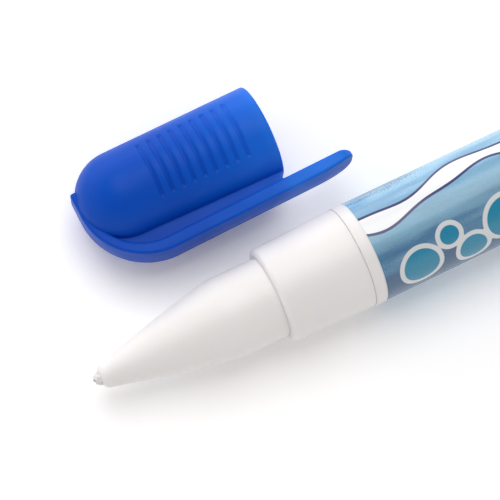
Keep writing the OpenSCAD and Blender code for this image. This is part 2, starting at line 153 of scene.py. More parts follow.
# The mouth's chamfer inside, the gap behind the collar, and its hole's clearance over the land
CHAMFER_L, CHAMFER_H = 0.25, 0.12
RING_GAP = 0.035
COLLAR_HOLE_CLEAR = 0.015
# How far the edges of the turned pieces are softened, where they turn by more than SHARP_TURN,
# and the most that this takes of a side; points closer than SAME_PLACE are one
BARREL_SOFT, COLLAR_SOFT, NOZZLE_SOFT, SEAL_SOFT = 0.1, 0.09, 0.06, 0.12
SHARP_TURN = math.radians(24)
SOFT_SHARE = 0.45
SAME_PLACE = 1e-6

# Steps round the turned pieces, along their arcs and their softened edges, then round the strap's
# edges, round its lip's corners, along it, and round its free end's corners
RING_STEPS = 224
CAP_STEPS = 256
SEAL_STEPS = 128
WELL_STEPS = 96
NOZZLE_STEPS = 64
ARC_STEPS = 8
SOFT_STEPS = 3
EDGE_STEPS = 5
LIP_STEPS, LEAF_STEPS, CORNER_STEPS = 8, 90, 18

# Places, from the frame: X, Y and Z in metres, stations in millimetres
collar_low, collar_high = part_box("front_collar")
seal_low, seal_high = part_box("tip_seal")
label_low, label_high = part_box("label_sleeve")
cap_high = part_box("cap")[1]
base_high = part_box("bottle")[1]
PEN_Y = (collar_low.y + collar_high.y) / 2
PEN_Z = (collar_low.z + collar_high.z) / 2
COLLAR_X = collar_low.x
CAP_Y = (seal_low.y + seal_high.y) / 2
CAP_Z = (seal_low.z + seal_high.z) / 2
MOUTH_X = cap_high.x - CLIP_OVER * MM
BASE_AT = (base_high.x - COLLAR_X) / MM
PANEL_AT = RING_AT + FRONT_RING_W
REAR_AT = BASE_AT - REAR_RING_W
LABEL_AT = (label_low.x - COLLAR_X) / MM
LABEL_END = (label_high.x - COLLAR_X) / MM
LABEL_R = PANEL_R + LABEL_T

# The cap: its dome, and the line that the clip's outer face follows
DOME_R = CAP_R - CAP_DRAFT
DOME_AT = CAP_L - DOME_R
DOME_BORE_R = CAP_BORE_R - CAP_DRAFT
DOME_BORE_AT = CAP_L - DOME_WALL - DOME_BORE_R
CLIP_BEND_OUT = CAP_R + CLIP_BEND_RISE
BEND_AT = CAP_L - CLIP_BEND_R
BEND_X = CLIP_BEND_OUT - CLIP_BEND_R
CLIP_LEAN = math.atan((CLIP_BEND_RISE - CLIP_END_RISE) / (BEND_AT + CLIP_OVER))
PLATE_L = CLIP_LIP + BEND_X
BEND_L = CLIP_BEND_R * (math.pi / 2 + CLIP_LEAN)
LEAF_L = (BEND_AT + CLIP_OVER) / math.cos(CLIP_LEAN) - CLIP_BEND_R * math.sin(CLIP_LEAN)
CLIP_TOTAL = PLATE_L + BEND_L + LEAF_L - CLIP_END_BACK
TIP_DROP = CLIP_T - CLIP_TIP_T
TIP_CURVE_R = (CLIP_TIP_L**2 + TIP_DROP**2) / (2 * TIP_DROP)

# From the pen's own frame, z along its axis towards the base, to the part's
PEN_PLACE = Matrix.Translation((COLLAR_X, PEN_Y, PEN_Z)) @ Matrix.Rotation(math.pi / 2, 4, "Y")
PEN_PLACE = PEN_PLACE @ Matrix.Scale(MM, 4)
# From the cap's own frame, z from its mouth to its dome and x to its clip, to the part's
CAP_PLACE = (
    Matrix.Translation((MOUTH_X, CAP_Y, CAP_Z))
    @ Matrix.Rotation(math.radians(90 - CLIP_UP), 4, "X")
    @ Matrix.Rotation(-math.pi / 2, 4, "Y")
    @ Matrix.Scale(MM, 4)
)


# ---------------------------------------------------------------- mesh helpers


def arc(centre, radius, start, end, steps=ARC_STEPS):
    """Points (station, radius) of an arc; angles in degrees, 0 along the stations."""
    points = []
    for i in range(steps + 1):
        a = math.radians(start + (end - start) * i / steps)
        points.append((centre[0] + radius * math.cos(a), centre[1] + radius * math.sin(a)))
    return points


def softened(profile, radius):
    """The profile with each corner cut back by a small arc; poles on the axis are kept."""
    out = []
    for i, p in enumerate(profile):
        a = Vector(profile[i - 1])
        b = Vector(p)
        c = Vector(profile[(i + 1) % len(profile)])
        first, second = a - b, c - b
        kept = b.y <= 0 or min(first.length, second.length) < SAME_PLACE
        if kept or math.pi - first.angle(second) < SHARP_TURN:
            out.append(p)
            continue
        cut = min(radius, first.length * SOFT_SHARE, second.length * SOFT_SHARE)
        q, r = b + first.normalized() * cut, b + second.normalized() * cut
        for k in range(SOFT_STEPS + 1):
            t = k / SOFT_STEPS
            out.append(tuple(q * (1 - t) ** 2 + b * 2 * t * (1 - t) + r * t**2))
    return out


def turned(name, profile, steps=RING_STEPS):
    """The closed profile's (station, radius) points swept round the z axis."""
    bm = bmesh.new()
    rings = []
    for station, radius in profile:
        if radius <= 0:
            rings.append([bm.verts.new((0, 0, station))])
            continue
        ring = []
        for k in range(steps):
            a = 2 * math.pi * k / steps
            ring.append(bm.verts.new((radius * math.cos(a), radius * math.sin(a), station)))
        rings.append(ring)
    for low, high in zip(rings, rings[1:] + rings[:1]):
        for k in range(steps):
            n = (k + 1) % steps
            corners = [low[k % len(low)], low[n % len(low)], high[n % len(high)], high[k % len(high)]]
            corners = list(dict.fromkeys(corners))
            if len(corners) > 2:
                bm.faces.new(corners)
    return finished(name, bm)


def finished(name, bm):
    """Turns a bmesh into an object with outward normals."""
    bmesh.ops.recalc_face_normals(bm, faces=bm.faces)
    mesh = bpy.data.meshes.new(name)
    bm.to_mesh(mesh)
    bm.free()
    obj = bpy.data.objects.new(name, mesh)
    bpy.context.scene.collection.objects.link(obj)
    return obj


def applied(obj):
    """The object with its modifiers turned into plain mesh."""
    bpy.context.view_layer.update()
    graph = bpy.context.evaluated_depsgraph_get()
    mesh = bpy.data.meshes.new_from_object(obj.evaluated_get(graph))
    obj.modifiers.clear()
    old = obj.data
    obj.data = mesh
    mesh.name = obj.name
    bpy.data.meshes.remove(old)
    return obj


def seated(obj, place, body, material, nodes=(), sharp=32):
    """Edges that turn by more than `sharp` degrees stay crisp.
    """
    obj.data.transform(place)
    obj.data.materials.clear()
    obj.data.materials.append(material)
    obj.data.shade_smooth()
    obj.data.set_sharp_from_angle(angle=math.radians(sharp))
    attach(obj, body)
    if nodes:
        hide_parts(*nodes)


# ---------------------------------------------------------------- materials


class Nodes:
    """A node tree, with short calls that add and link its nodes."""

    def __init__(self, tree):
        self.tree = tree

    def node(self, kind, **settings):
        """A new node with its settings."""
        made = self.tree.nodes.new(kind)
        for key, value in settings.items():
            setattr(made, key, value)
        return made

    def link(self, source, target):
        """Feeds a socket with a number or with another node's output."""
        if isinstance(source, (int, float)):
            target.default_value = source
        else:
            self.tree.links.new(source, target)

    def fed(self, made, *values):
        """The node's first output, after its inputs are fed in their order."""
        for value, socket in zip(values, made.inputs):
            self.link(value, socket)
        return made.outputs[0]

    def math(self, operation, *values):
        """The result of one sum."""
        return self.fed(self.node("ShaderNodeMath", operation=operation), *values)

    def split(self, vector):
        """The x, y and z of a vector."""
        made = self.node("ShaderNodeSeparateXYZ")
        self.link(vector, made.inputs[0])
        return made.outputs

    def span(self, value, low, high, to_low=0.0, to_high=1.0):
        """The value taken evenly from low..high to to_low..to_high, and held between them."""
        return self.fed(self.node("ShaderNodeMapRange", clamp=True), value, low, high, to_low, to_high)

    def step(self, value, low, high, to_low=0.0, to_high=1.0):
        """As span, with a smooth start and stop."""
        made = self.node("ShaderNodeMapRange", interpolation_type="SMOOTHSTEP")
        return self.fed(made, value, low, high, to_low, to_high)

    def ramp(self, value, *stops):
        """A colour ramp; each stop is (position, (r, g, b))."""
        made = self.node("ShaderNodeValToRGB")
        while len(made.color_ramp.elements) < len(stops):
            made.color_ramp.elements.new(0.5)
        for element, (at, colour) in zip(made.color_ramp.elements, stops):
            element.position = at
            element.color = (*colour, 1)
        return self.fed(made, value)


class Finish(Nodes):
    """One material, with the nodes that vary its colour, gloss and surface."""

    def __init__(self, name, colour, roughness, **skin):
        self.material = bpy.data.materials.new(name)
        self.material.use_nodes = True
        super().__init__(self.material.node_tree)
        self.skin = self.tree.nodes["Principled BSDF"]
        self.skin.inputs["Base Color"].default_value = (*colour, 1)
        self.skin.inputs["Roughness"].default_value = roughness
        for key, value in skin.items():
            self.skin.inputs[key.replace("_", " ")].default_value = value
        self.place = self.node("ShaderNodeTexCoord").outputs["Object"]

    def grain(self, size, detail, stretch=(1, 1, 1)):
        """Noise whose lumps are about `size` millimetres across, in 0 to 1."""
        mapping = self.node("ShaderNodeMapping")
        self.link(self.place, mapping.inputs["Vector"])
        mapping.inputs["Scale"].default_value = stretch
        made = self.node("ShaderNodeTexNoise")
        self.link(mapping.outputs[0], made.inputs["Vector"])
        made.inputs["Scale"].default_value = 1 / (size * MM)
        made.inputs["Detail"].default_value = detail
        return made.outputs["Fac"]

    def mix(self, factor, first, second):
        """From the first colour at a factor of 0 to the second at 1."""
        made = self.node("ShaderNodeMix", data_type="RGBA")
        self.link(factor, made.inputs[0])
        for value, socket in ((first, made.inputs[6]), (second, made.inputs[7])):
            if isinstance(value, tuple):
                socket.default_value = (*value, 1)
            else:
                self.link(value, socket)
        return made.outputs[2]

    def bump(self, height, distance, strength, below=None):
        """Small relief, its depth in millimetres, over the relief below it."""
        made = self.node("ShaderNodeBump")
        made.inputs["Distance"].default_value = distance * MM
        made.inputs["Strength"].default_value = strength
        self.link(height, made.inputs["Height"])
        if below is not None:
            self.link(below, made.inputs["Normal"])
        return made.outputs[0]

    def wear(self, colour, roughness, normal):
        """Links what varies over the surface to the shader."""
        for value, name in ((colour, "Base Color"), (roughness, "Roughness"), (normal, "Normal")):
            self.link(value, self.skin.inputs[name])
        return self.material


# What most of a noise's values lie between
NOISE = (0.3, 0.7)


def times(colour, factor):
    """The colour, lighter or darker."""
    return tuple(c * factor for c in colour)


def white_plastic(name, colour):
    """Satin white moulding: faint warm clouds, darker specks, fine grain in the gloss."""
    f = Finish(name, colour, 0.42, Subsurface_Weight=0.25, Subsurface_Scale=1.2 * MM)
    f.skin.inputs["Subsurface Radius"].default_value = (1.0, 0.9, 0.8)
    cloud = f.grain(5.0, 3.0)
    speck = f.grain(0.35, 3.0)
    red, green, blue = colour
    warm = (red, green * 0.985, blue * 0.965)
    base = f.mix(f.span(cloud, 0.35, 0.7), colour, warm)
    base = f.mix(f.span(speck, 0.6, 0.8, 0.0, 0.12), base, times(colour, 0.86))
    gloss = f.span(speck, *NOISE, 0.36, 0.5)
    skin = f.bump(speck, 0.012, 0.5, f.bump(cloud, 0.05, 0.3))
    return f.wear(base, gloss, skin)


# Length over which the cap's blue is painted lighter towards its mouth: a painted glow standing in for
# light through the thin wall there
MOUTH_PAINTED_GLOW_L = 22


def cap_plastic():
    """Royal blue with faint clouds, painted lighter towards the thin mouth as if light shone through
    its wall.
    """
    # deep and blue are the plastic's own; middle, near and rim are painted lighter blues, a painted
    # glow of light through the wall by the mouth
    deep, blue, middle = (0.001, 0.058, 0.44), (0.001, 0.075, 0.51), (0.002, 0.1, 0.6)
    near, rim = (0.009, 0.135, 0.7), (0.016, 0.175, 0.78)
    f = Finish("cap_royal_blue", blue, 0.28)
    f.skin.inputs["Specular IOR Level"].default_value = 0.12
    mouth = f.span(f.split(f.place)[0], MOUTH_X - MOUTH_PAINTED_GLOW_L * MM, MOUTH_X)
    cloud = f.grain(3.5, 3.0, (0.45, 1, 1))
    # Painted light: the blue brightens towards the mouth as if lit through its thin wall
    tint = f.ramp(mouth, (0.3, blue), (0.64, middle), (0.92, near), (1.0, rim))
    tint = f.mix(f.span(cloud, 0.3, 0.75, 0.0, 0.3), tint, deep)
    gloss = f.span(cloud, *NOISE, 0.36, 0.46)
    return f.wear(tint, gloss, f.bump(cloud, 0.05, 0.3))


def plain_grained(name, colour, roughness, size):
    """A plain finish with a fine grain in its colour, gloss and surface."""
    f = Finish(name, colour, roughness)
    speck = f.grain(size, 3.0)
    tint = f.mix(f.span(speck, 0.35, 0.75, 0.0, 0.6), colour, times(colour, 0.8))
    gloss = f.span(speck, *NOISE, max(roughness - 0.08, 0.05), roughness + 0.1)
    return f.wear(tint, gloss, f.bump(speck, 0.01, 0.4))


def drawn_metal(name, colour, roughness):
    """Metal with fine lines along the pen, as wire and turned tips have."""
    f = Finish(name, colour, roughness, Metallic=1.0)
    lines = f.grain(0.25, 4.0, (0.12, 1, 1))
    tint = f.mix(f.span(lines, 0.3, 0.75, 0.0, 0.7), colour, times(colour, 0.7))
    gloss = f.span(lines, *NOISE, roughness - 0.1, roughness + 0.12)
    return f.wear(tint, gloss, f.bump(lines, 0.01, 0.5))


# Plain bubbles of the label's design: millimetres along, millimetres round, radius
BUBBLES = (
    (5.6, 6.6, 2.7), (10.6, 3.9, 1.4), (13.6, 7.6, 2.1), (19.4, 5.2, 3.1), (25.2, 8.4, 1.6),
    (29.0, 5.0, 2.2), (35.5, 7.0, 3.0), (41.2, 3.8, 1.5), (45.0, 7.4, 2.4), (51.0, 5.6, 3.1),
    (57.0, 8.2, 1.7), (60.6, 4.6, 2.0), (66.4, 6.8, 2.9), (71.6, 4.0, 1.5), (74.6, 7.8, 1.9),
)
# Its ribbon: middle, how far it sways over which length, half width, swell over which length
RIBBON_AT, RIBBON_SWAY, RIBBON_SWAY_L = -3.6, 1.5, 31.0
RIBBON_HALF_W, RIBBON_SWELL, RIBBON_SWELL_L = 1.0, 0.35, 12.4
# Widths of the printed rims round the ribbon and the bubbles, and of the soft edge of every print
RIBBON_RIM, BUBBLE_RIM, PRINT_EDGE = 0.42, 0.7, 0.06
# How far round two bubbles that meet run into each other
BUBBLE_MELT = 0.5


def label_ground_and_painted_light(f, depth):
    """Brushed blue ground, painted pale along one side as a reflection of the bright studio, then
    steel blue, then painted deep blue as shade on the other side.
    """
    # pale is a painted reflection and deep is painted shade; the blues between are the print's own
    # ground
    pale, sky, mist = (0.34, 0.62, 0.82), (0.155, 0.35, 0.56), (0.21, 0.44, 0.60)
    steel, slate, deep = (0.165, 0.33, 0.47), (0.075, 0.21, 0.38), (0.045, 0.125, 0.24)
    return f.ramp(
        depth, (0.0, slate), (0.12, pale), (0.3, sky), (0.42, mist),
        (0.58, steel), (0.68, slate), (0.84, deep),
    )


def ribbon_gap(f, along, across):
    """Distance outside the ribbon's side, less than 0 within it."""
    wave = f.math("SINE", f.math("MULTIPLY_ADD", along, 2 * math.pi / RIBBON_SWAY_L, 0.9))
    middle = f.math("MULTIPLY_ADD", wave, RIBBON_SWAY, RIBBON_AT)
    off = f.math("ABSOLUTE", f.math("SUBTRACT", across, middle))
    swell = f.math("SINE", f.math("MULTIPLY_ADD", along, 2 * math.pi / RIBBON_SWELL_L, 0.4))
    return f.math("SUBTRACT", off, f.math("MULTIPLY_ADD", swell, RIBBON_SWELL, RIBBON_HALF_W))


def bubble_gap(f, along, across):
    """Distance outside the nearest bubble, less than 0 within it."""
    nearest = None
    for x, y, r in BUBBLES:
        step = f.math("POWER", f.math("SUBTRACT", along, x), 2.0)
        side = f.math("POWER", f.math("SUBTRACT", across, y), 2.0)
        gap = f.math("SUBTRACT", f.math("SQRT", f.math("ADD", step, side)), r)
        nearest = gap if nearest is None else f.math("SMOOTH_MIN", nearest, gap, BUBBLE_MELT)
    return nearest


def label_film():
    """Printed film: a brushed blue ground with a painted reflection and painted shade across it, a
    waved ribbon and a row of bubbles.
    """
    f = Finish("label_print_and_painted_light", (0.3, 0.6, 0.75), 0.3, Coat_Weight=0.35, Coat_Roughness=0.12)
    wrapped = f.split(f.node("ShaderNodeUVMap", uv_map="wrap").outputs[0])
    along = f.math("MULTIPLY", wrapped[0], LABEL_END - LABEL_AT)
    half_turn = math.pi * LABEL_R
    turn = f.math("MULTIPLY", wrapped[1], 2 * half_turn)
    across = f.math("WRAP", turn, half_turn / 2, -half_turn / 2)
    # Lengthwise streaks and a fine grain in the ground
    streak = f.grain(2.6, 4.0, (0.16, 1, 1))
    grain = f.grain(0.16, 2.0)
    depth = f.span(across, -half_turn / 2, half_turn / 2)
    depth = f.math("ADD", depth, f.span(streak, 0.25, 0.75, -0.16, 0.16))
    depth = f.math("ADD", depth, f.span(grain, 0.25, 0.75, -0.07, 0.07))
    # The ground's colour round the pen carries a painted reflection on one side and painted shade on
    # the other
    ink = label_ground_and_painted_light(f, depth)
    # Teal bubbles with a white rim, then the white ribbon with a navy rim
    bubble, ribbon = bubble_gap(f, along, across), ribbon_gap(f, along, across)
    for gap, rim, colour in (
        (bubble, BUBBLE_RIM, (0.72, 0.74, 0.75)), (bubble, 0.0, (0.0, 0.24, 0.40)),
        (ribbon, RIBBON_RIM, (0.012, 0.02, 0.13)), (ribbon, 0.0, (0.86, 0.88, 0.9)),
    ):
        ink = f.mix(f.span(gap, rim, rim + PRINT_EDGE, 1.0, 0.0), ink, colour)
    gloss = f.span(grain, *NOISE, 0.24, 0.4)
    return f.wear(ink, gloss, f.bump(grain, 0.008, 0.35, f.bump(streak, 0.02, 0.3)))


# ---------------------------------------------------------------- pen pieces


def barrel():
    """Squeeze barrel: neck, front ring, label panel, rear ring, footed base, open bore."""
    widening = BORE_R - NECK_BORE_R
    floor_at = BASE_AT - FOOT_RECESS - BASE_T
    foot_r = BARREL_R - BASE_ROUND - FOOT_W
    bead = RING_AT - BEAD_BACK
    neck = [
        (NECK_AT, NECK_BORE_R), (NECK_AT, NECK_R), (bead - BEAD_W / 2, NECK_R),
        (bead - BEAD_CREST_W / 2, NECK_R + BEAD_H), (bead + BEAD_CREST_W / 2, NECK_R + BEAD_H),
        (bead + BEAD_W / 2, NECK_R), (RING_AT, NECK_R),
    ]
    rings = [
        (RING_AT, BARREL_R), (PANEL_AT, BARREL_R), (PANEL_AT, PANEL_R),
        (REAR_AT, PANEL_R), (REAR_AT, BARREL_R),
    ]
    foot = arc((BASE_AT - BASE_ROUND, BARREL_R - BASE_ROUND), BASE_ROUND, 90, 0)
    inside = [
        (BASE_AT, foot_r), (BASE_AT - FOOT_RECESS, foot_r), (BASE_AT - FOOT_RECESS, 0),
        (floor_at, 0), (floor_at, BORE_R), (RING_AT + widening, BORE_R), (RING_AT, NECK_BORE_R),
    ]
    return turned("squeeze_barrel", softened(neck + rings + foot + inside, BARREL_SOFT))


def collar():
    """Tapered ring with a rounded front edge, that snaps over the neck's bead."""
    front_r, rear_r = LAND_R + COLLAR_FRONT_STEP, BARREL_R - COLLAR_REAR_STEP
    rear_at = RING_AT - RING_GAP
    neck_hole, land_hole = NECK_R + COLLAR_CLEAR, LAND_R + COLLAR_HOLE_CLEAR
    edge = arc((COLLAR_EDGE_R, front_r - COLLAR_EDGE_R), COLLAR_EDGE_R, 180, 90)
    rest = [
        (rear_at, rear_r), (rear_at, neck_hole), (SNAP_AT, neck_hole), (SNAP_AT, COLLAR_BORE_R),
        (COLLAR_FACE_T, COLLAR_BORE_R), (COLLAR_FACE_T, land_hole), (0, land_hole),
    ]
    return turned("snap_collar", softened(edge + rest, COLLAR_SOFT))


def nose_side():
    """The cone's bulged side and its blend into the land, from the rounded end backwards."""
    small = Vector((NOSE_END_R - NOSE_L, NOSE_SMALL_R))
    large = Vector((-LAND_L, LAND_R))
    chord = large - small
    radius = (chord.length_squared / 4 + NOSE_BULGE**2) / (2 * NOSE_BULGE)
    down = Vector((chord.y, -chord.x)).normalized()
    centre = (small + large) / 2 + down * (radius - NOSE_BULGE)
    blend_y = LAND_R - BLEND_R
    reach = math.sqrt((radius - BLEND_R) ** 2 - (blend_y - centre.y) ** 2)
    blend = Vector((centre.x + (-reach if centre.x > large.x else reach), blend_y))
    toward = (blend - centre).normalized()
    meet = centre + toward * radius
    start = math.degrees(math.atan2(small.y - centre.y, small.x - centre.x))
    stop = math.degrees(math.atan2(meet.y - centre.y, meet.x - centre.x))
    side = arc(centre, radius, start, stop, steps=40)
    turn = math.degrees(math.atan2(toward.y, toward.x))
    return side + arc(blend, BLEND_R, turn, 90, steps=12)[1:]


def nose():
    """Land, bulged cone and rounded end, with the valve's chamber inside."""
    end_centre = (NOSE_END_R - NOSE_L, NOSE_SMALL_R - NOSE_END_R)
    end = arc(end_centre, NOSE_END_R, 180, 90, steps=12)
    flange_r = COLLAR_BORE_R - COLLAR_CLEAR
    flange_end = COLLAR_FACE_T + FLANGE_T
    flange = [
        (COLLAR_FACE_T, LAND_R), (COLLAR_FACE_T, flange_r), (flange_end, flange_r),
        (flange_end, NECK_BORE_R), (SPIGOT_END_AT, NECK_BORE_R),
    ]
    hollow = [
        (SPIGOT_END_AT, PLUG_R), (PLUG_AT, PLUG_R), (PLUG_AT, CHAMBER_R), (CHAMBER_AT, CHAMBER_R),
        (THROAT_AT, CHANNEL_R), (TIP_REAR_AT, CHANNEL_R), (TIP_REAR_AT, TIP_BODY_R),
        (TIP_BODY_AT, TIP_BODY_R), (TIP_BODY_AT, NOZZLE_R), (-NOSE_L, NOZZLE_R),
    ]
    return turned("nose_moulding", end + nose_side()[1:] + flange + hollow)


def nozzle():
    """Plated tip: a fine nozzle on a body with a bore and a conical seat."""
    out = -NOSE_L - NOZZLE_OUT
    profile = [
        (out, NOZZLE_BORE_R), (out, NOZZLE_R), (TIP_BODY_AT, NOZZLE_R), (TIP_BODY_AT, TIP_BODY_R),
        (TIP_REAR_AT, TIP_BODY_R), (TIP_REAR_AT, TIP_BORE_R), (SEAT_END_AT, TIP_BORE_R),
        (SEAT_AT, NOZZLE_BORE_R),
    ]
    return turned("plated_nozzle", softened(profile, NOZZLE_SOFT), steps=NOZZLE_STEPS)


# The dried fluid: how far it starts inside the nose's end and reaches out of it, how thick it
# is at its thin end and how much more at its start, and how full its side is
CRUST_IN, CRUST_OUT = 0.06, 0.78
CRUST_THIN, CRUST_MORE = 0.08, 0.42
CRUST_FULL = 0.7
# What is this close to the nozzle stays round, and a lump leaves at least this much of it
CRUST_ROOT, CRUST_LEAST = 0.02, 0.03
CRUST_ROWS, CRUST_STEPS = 14, 72
# Its lumps: how many to a millimetre and how high; large, small, and along the pen
LARGE_LUMPS, LARGE_H, LARGE_PLACE = 2.6, 0.22, Vector((3.1, 0.4, 7.7))
SMALL_LUMPS, SMALL_H = 6.5, 0.09
LONG_LUMPS, LONG_H = 3.5, 0.1


def crust():
    """Dried fluid round the nozzle: a small uneven ring of lumps."""
    start, stop = -NOSE_L + CRUST_IN, -NOSE_L - CRUST_OUT
    profile = [(start, NOZZLE_R)]
    for i in range(CRUST_ROWS + 1):
        t = i / CRUST_ROWS
        thick = CRUST_MORE * (1 - t) ** CRUST_FULL
        profile.append((start + (stop - start) * t, NOZZLE_R + thick + CRUST_THIN))
    profile.append((stop, NOZZLE_R))
    obj = turned("dried_fluid", profile, steps=CRUST_STEPS)
    for v in obj.data.vertices:
        r = math.hypot(v.co.x, v.co.y)
        if r < NOZZLE_R + CRUST_ROOT:
            continue
        lump = noise.noise(v.co * LARGE_LUMPS + LARGE_PLACE) * LARGE_H
        lump += noise.noise(v.co * SMALL_LUMPS) * SMALL_H
        k = max(r + lump, NOZZLE_R + CRUST_LEAST) / r
        v.co.x *= k
        v.co.y *= k
        v.co.z += noise.noise(v.co * LONG_LUMPS) * LONG_H
    return obj


# The film's steps round the panel and along it, and the steps by which its end laps its start
LABEL_STEPS, LABEL_COLUMNS, LAP_STEPS = 240, 8, 4
# Its inner face over the panel, its outer face under its full size, and the rise of both at the lap
FILM_CLEAR, FILM_SUNK = 0.002, 0.025
LAP_RISE, LAP_INNER_RISE = 0.02, 0.052


def label():
    """Film wrapped round the panel, its free edge lapped along the underside."""
    bm = bmesh.new()
    wrap = bm.loops.layers.uv.new("wrap")
    columns, last = LABEL_COLUMNS, LABEL_STEPS + LAP_STEPS
    grid = {}
    for i in range(columns + 1):
        station = LABEL_AT + (LABEL_END - LABEL_AT) * i / columns
        for k in range(last + 1):
            a = 2 * math.pi * k / LABEL_STEPS
            lapped = k >= LABEL_STEPS
            inner_r = PANEL_R + FILM_CLEAR + (LAP_INNER_RISE if lapped else 0.0)
            outer_r = LABEL_R - FILM_SUNK + (LAP_RISE if lapped else 0.0)
            for side, r in enumerate((inner_r, outer_r)):
                grid[i, k, side] = bm.verts.new((r * math.cos(a), r * math.sin(a), station))

    def patch(*corners):
        """A face between corners (column, step, side), with the film's own flat coordinates."""
        face = bm.faces.new([grid[c] for c in corners])
        for loop, (i, k, side) in zip(face.loops, corners):
            loop[wrap].uv = (i / columns, k / LABEL_STEPS)

    for i in range(columns):
        for k in range(last):
            patch((i, k, 1), (i, k + 1, 1), (i + 1, k + 1, 1), (i + 1, k, 1))
            patch((i, k, 0), (i + 1, k, 0), (i + 1, k + 1, 0), (i, k + 1, 0))
        patch((i, 0, 0), (i, 0, 1), (i + 1, 0, 1), (i + 1, 0, 0))
        patch((i, last, 1), (i, last, 0), (i + 1, last, 0), (i + 1, last, 1))
    for k in range(last):
        patch((0, k, 0), (0, k + 1, 0), (0, k + 1, 1), (0, k, 1))
        patch((columns, k, 0), (columns, k, 1), (columns, k + 1, 1), (columns, k + 1, 0))
    return finished("wrapped_label", bm)


# ---------------------------------------------------------------- cap pieces

# Grooves: steep on the dome's side, gentle on the mouth's side, and shallower at their far end
GROOVES = {
    "Count": 9, "Pitch": 1.65, "Width": 0.9, "Depth": 0.36, "Far Depth": 0.24, "First": 4.2,
    "From": 52.0, "Sweep": 76.0, "Steep": 0.12, "Gentle": 0.6, "End": 0.5,
}
# Stations of the tube's side round each groove's middle, close where its walls stand, and elsewhere
GROOVE_OFFSETS = (
    -0.56, -0.45, -0.36, -0.27, -0.18, -0.09, 0, 0.1, 0.2, 0.28, 0.33, 0.37, 0.41, 0.45, 0.5,
)
PLAIN_STATIONS = (0.6, 1.2, 2.0, 2.8, 3.3, 18.6, 19.6, 20.8)


def cap_side_r(station):
    """Radius of the cap's tapered side."""
    return CAP_R - CAP_DRAFT * (station - MOUTH_ROUND) / (DOME_AT - MOUTH_ROUND)


def cap_stations():
    """Stations of the tube's side from the mouth to the dome."""
    stations = set(PLAIN_STATIONS)
    for i in range(GROOVES["Count"]):
        middle = GROOVES["First"] + i * GROOVES["Pitch"]
        stations.update(round(middle + o, 4) for o in GROOVE_OFFSETS)
    return sorted(stations)


def groove_section(g, size, z):
    """1 in a groove's bottom and 0 beside it, by the place along the cap."""
    turns = g.math("DIVIDE", g.math("SUBTRACT", z, size["First"]), size["Pitch"])
    last = g.math("SUBTRACT", size["Count"], 1.0)
    nearest = g.math("MINIMUM", g.math("MAXIMUM", g.math("ROUND", turns), 0.0), last)
    # From the nearest groove's middle, positive towards the dome
    off = g.math("MULTIPLY", g.math("SUBTRACT", turns, nearest), size["Pitch"])
    half = g.math("DIVIDE", size["Width"], 2.0)
    low = g.math("MULTIPLY", half, -1.0)
    gentle = g.step(off, low, g.math("ADD", low, size["Gentle"]))
    steep = g.step(off, half, g.math("SUBTRACT", half, size["Steep"]))
    return g.math("MULTIPLY", gentle, steep)


def groove_length(g, size, radius, angle, far_angle):
    """1 between a groove's two ends and 0 past them, by the distance round the cap."""
    begins = g.math("MULTIPLY", g.math("RADIANS", g.math("SUBTRACT", angle, size["From"])), radius)
    ends = g.math("MULTIPLY", g.math("SUBTRACT", far_angle, g.math("RADIANS", angle)), radius)
    low, high = g.math("MULTIPLY", size["End"], -0.5), g.math("MULTIPLY", size["End"], 0.5)
    return g.math("MULTIPLY", g.step(begins, low, high), g.step(ends, low, high))


def groove_depth(g, size, x, radius, far_angle):
    """Depth of a groove, from its end beside the clip to its far end."""
    near, far = g.math("COSINE", g.math("RADIANS", size["From"])), g.math("COSINE", far_angle)
    past = g.math("SUBTRACT", g.math("DIVIDE", x, radius), far)
    way = g.math("DIVIDE", past, g.math("SUBTRACT", near, far))
    way = g.math("MINIMUM", g.math("MAXIMUM", way, 0.0), 1.0)
    change = g.math("SUBTRACT", size["Depth"], size["Far Depth"])
    return g.math("MULTIPLY_ADD", way, change, size["Far Depth"])


def groove_tree():
    """Geometry Nodes: presses rows of finger grooves into both sides of a turned tube."""
    tree = bpy.data.node_groups.new("finger_grooves", "GeometryNodeTree")
    tree.interface.new_socket("Geometry", in_out="INPUT", socket_type="NodeSocketGeometry")
    tree.interface.new_socket("Geometry", in_out="OUTPUT", socket_type="NodeSocketGeometry")
    kinds = {key: "NodeSocketFloat" for key in GROOVES}
    kinds["Count"] = "NodeSocketInt"
    kinds["Finish"] = "NodeSocketMaterial"
    sockets = {}
    for key, kind in kinds.items():
        sockets[key] = tree.interface.new_socket(key, in_out="INPUT", socket_type=kind).identifier
    g = Nodes(tree)
    size = g.node("NodeGroupInput").outputs
    x, y, z = g.split(g.node("GeometryNodeInputPosition").outputs[0])
    radius = g.math("SQRT", g.math("ADD", g.math("MULTIPLY", x, x), g.math("MULTIPLY", y, y)))
    angle = g.math("DEGREES", g.math("ARCTAN2", g.math("ABSOLUTE", y), x))
    far_angle = g.math("RADIANS", g.math("ADD", size["From"], size["Sweep"]))
    length = groove_length(g, size, radius, angle, far_angle)
    press = g.math("MULTIPLY", groove_section(g, size, z), length)
    press = g.math("MULTIPLY", press, groove_depth(g, size, x, radius, far_angle))
    # The outside alone, not the bore
    outer = g.math("GREATER_THAN", radius, (DOME_R + CAP_BORE_R) / 2)
    pressed = g.math("SUBTRACT", radius, g.math("MULTIPLY", press, outer))
    scale = g.math("DIVIDE", pressed, g.math("MAXIMUM", radius, 0.001))
    across = (g.math("MULTIPLY", side, scale) for side in (x, y))
    place = g.fed(g.node("ShaderNodeCombineXYZ"), *across, z)
    moved = g.node("GeometryNodeSetPosition")
    g.link(size["Geometry"], moved.inputs["Geometry"])
    g.link(place, moved.inputs["Position"])
    real = g.fed(g.node("GeometryNodeRealizeInstances"), moved.outputs[0])
    coat = g.node("GeometryNodeSetMaterial")
    g.link(real, coat.inputs["Geometry"])
    g.link(size["Finish"], coat.inputs["Material"])
    g.link(coat.outputs[0], g.node("NodeGroupOutput").inputs[0])
    return tree, sockets


